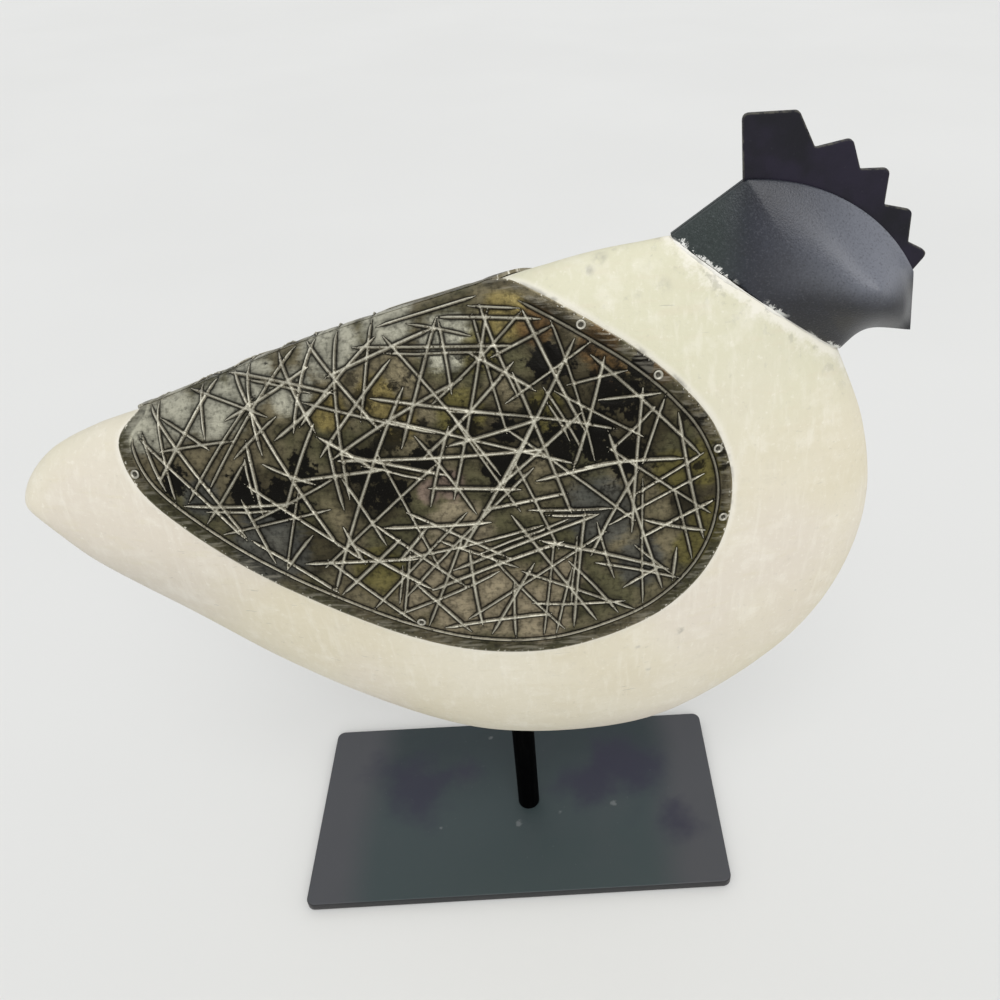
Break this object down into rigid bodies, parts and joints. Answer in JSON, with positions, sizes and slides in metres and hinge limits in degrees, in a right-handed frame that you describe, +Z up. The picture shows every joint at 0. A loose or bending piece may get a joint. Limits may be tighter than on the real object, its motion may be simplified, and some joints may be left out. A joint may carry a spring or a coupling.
{
  "type": "rooster statue",
  "caption": "Folk-art rooster ornament: carved painted wooden body, embossed metal wings, pressed steel head with a stepped comb, on a rod and a flat steel base.",
  "frame": {"origin": "centre of the base plate's underside, on the surface that the statue stands on", "axes": "+X from the tail to the beak, along the plate's long side; +Y towards the bird's left side; +Z up along the rod"},
  "size_m": [0.2452, 0.0762, 0.2571],
  "materials": {
    "base_black": "satin black paint on flat steel, with faint greenish and violet tints",
    "cream_wood": "matt cream paint brushed over carved wood, with scuffs and grey smudges",
    "head_black": "thin bluish black paint with a fine grain, on pressed steel sheet",
    "wing_sheet": "embossed soft metal sheet, patinated olive, brown and black, with rubbed bright ribs",
    "nail_steel": "dull steel nail heads with worn bright rims"
  },
  "bodies": {
    "root": {"base_plate": "base_black", "rod": "base_black", "body": "cream_wood", "head": "head_black", "comb": "head_black", "wing_right": "wing_sheet", "wing_left": "wing_sheet", "nail_right_1": "nail_steel", "nail_right_2": "nail_steel", "nail_right_3": "nail_steel", "nail_right_4": "nail_steel", "nail_right_5": "nail_steel", "nail_right_6": "nail_steel", "nail_left_1": "nail_steel", "nail_left_2": "nail_steel", "nail_left_3": "nail_steel", "nail_left_4": "nail_steel", "nail_left_5": "nail_steel", "nail_left_6": "nail_steel"}
  },
  "joints": []
}
